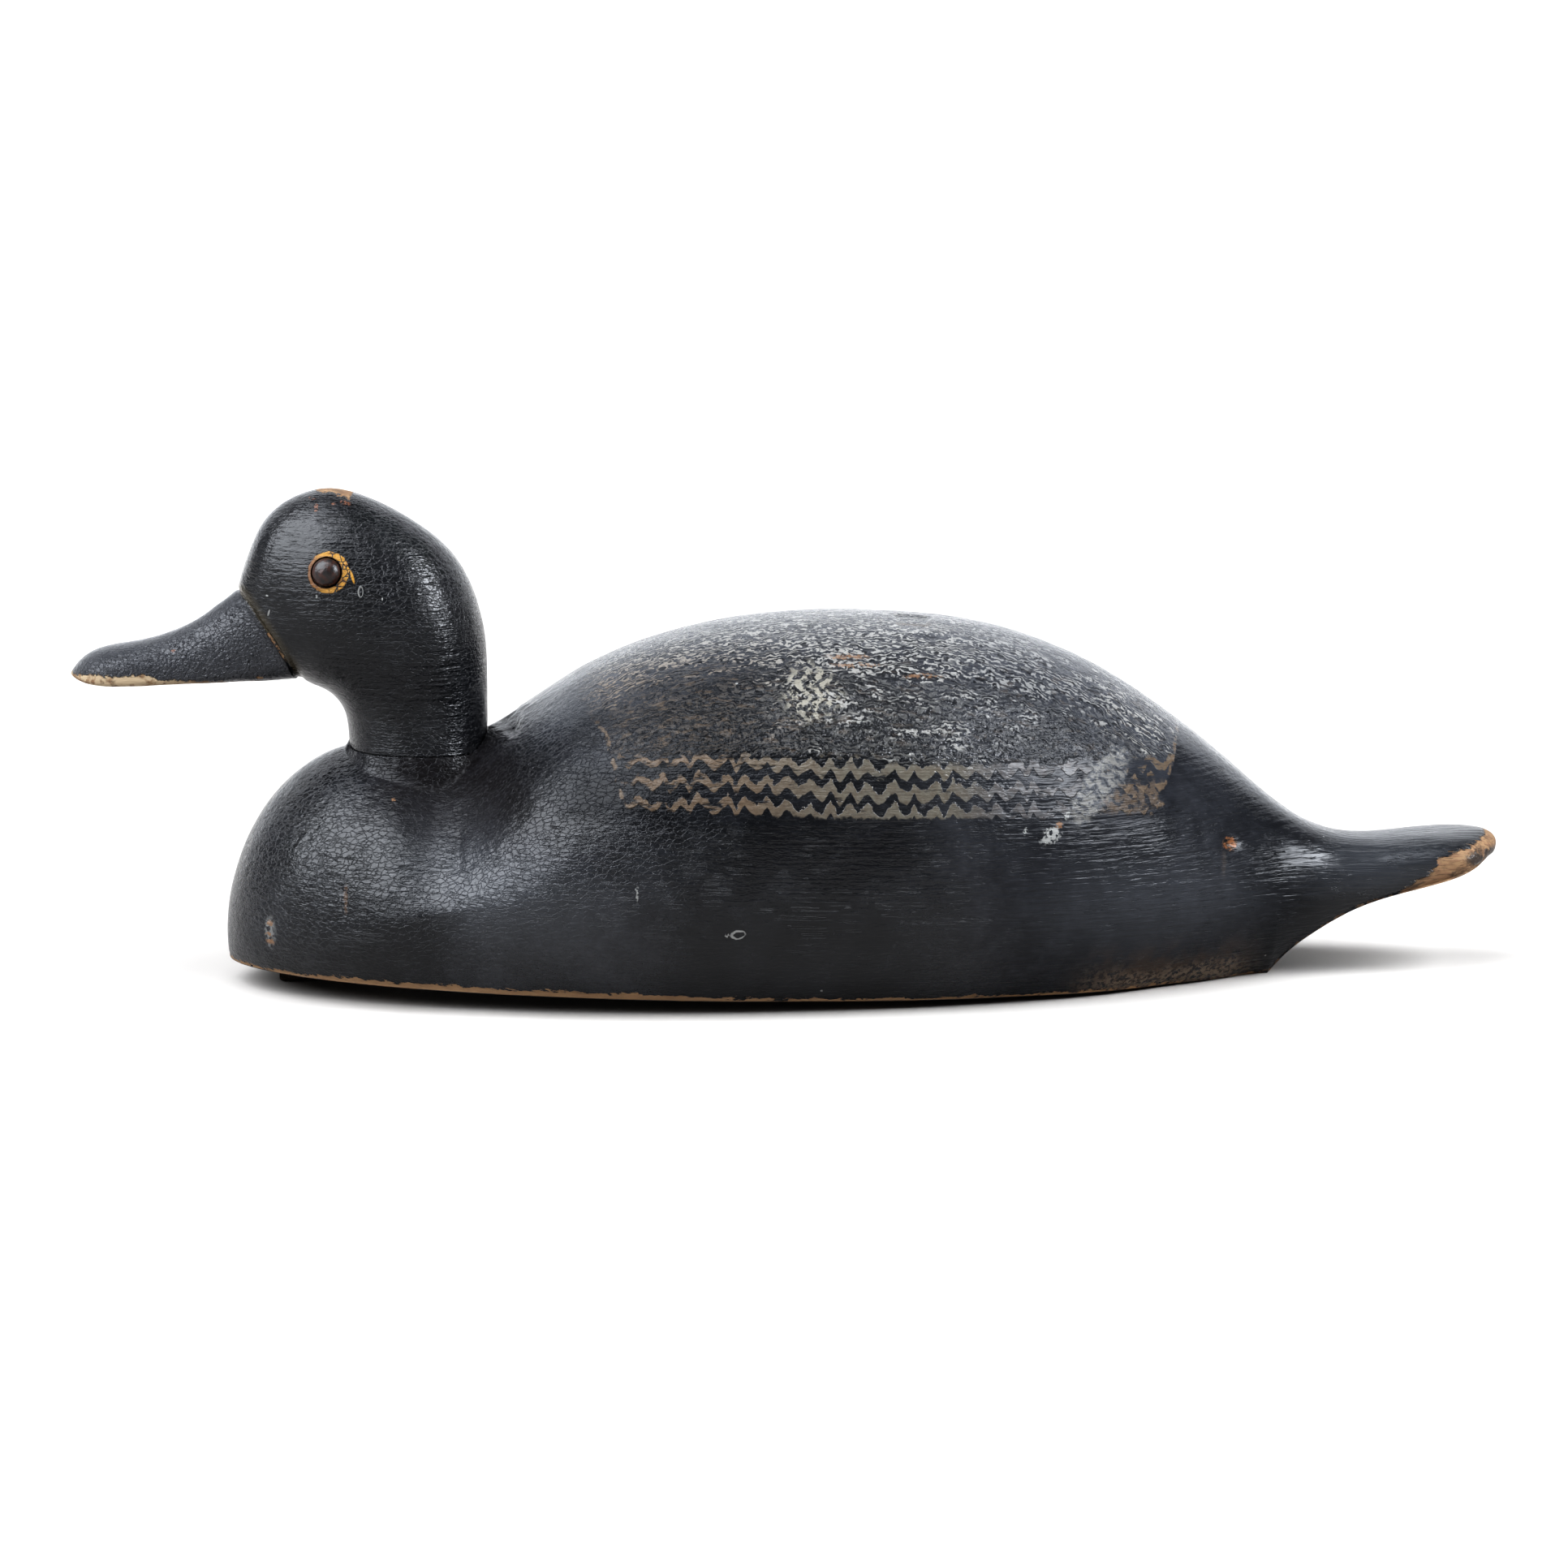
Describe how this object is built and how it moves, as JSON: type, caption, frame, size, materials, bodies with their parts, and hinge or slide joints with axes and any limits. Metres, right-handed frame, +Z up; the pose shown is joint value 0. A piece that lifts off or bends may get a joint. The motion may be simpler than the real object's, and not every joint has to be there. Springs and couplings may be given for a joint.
{
  "type": "duck decoy",
  "caption": "Carved and painted wooden diving-duck decoy with a hollow body, let-in bottom board, separate head, tack eyes and a leather line tie.",
  "frame": {"origin": "on the floor, under the middle of the overall box", "axes": "+Z up, bill toward -X, the duck's left side toward -Y"},
  "size_m": [0.3811, 0.138, 0.1315],
  "materials": {
    "body_paint": "worn satin black paint on wood, with a combed grey saddle on the back and bare wood along the lower edges",
    "head_paint": "satin black paint on wood, bare wood showing at the crown and under the bill",
    "board_wood": "weathered unpainted pine with worn traces of black paint",
    "eye_tack": "glossy dark brown",
    "tie_leather": "hard dark old leather"
  },
  "bodies": {
    "root": {"body": "body_paint", "bottom_board": "board_wood", "head": "head_paint", "eye_left": "eye_tack", "eye_right": "eye_tack", "line_tie": "tie_leather"}
  },
  "joints": []
}
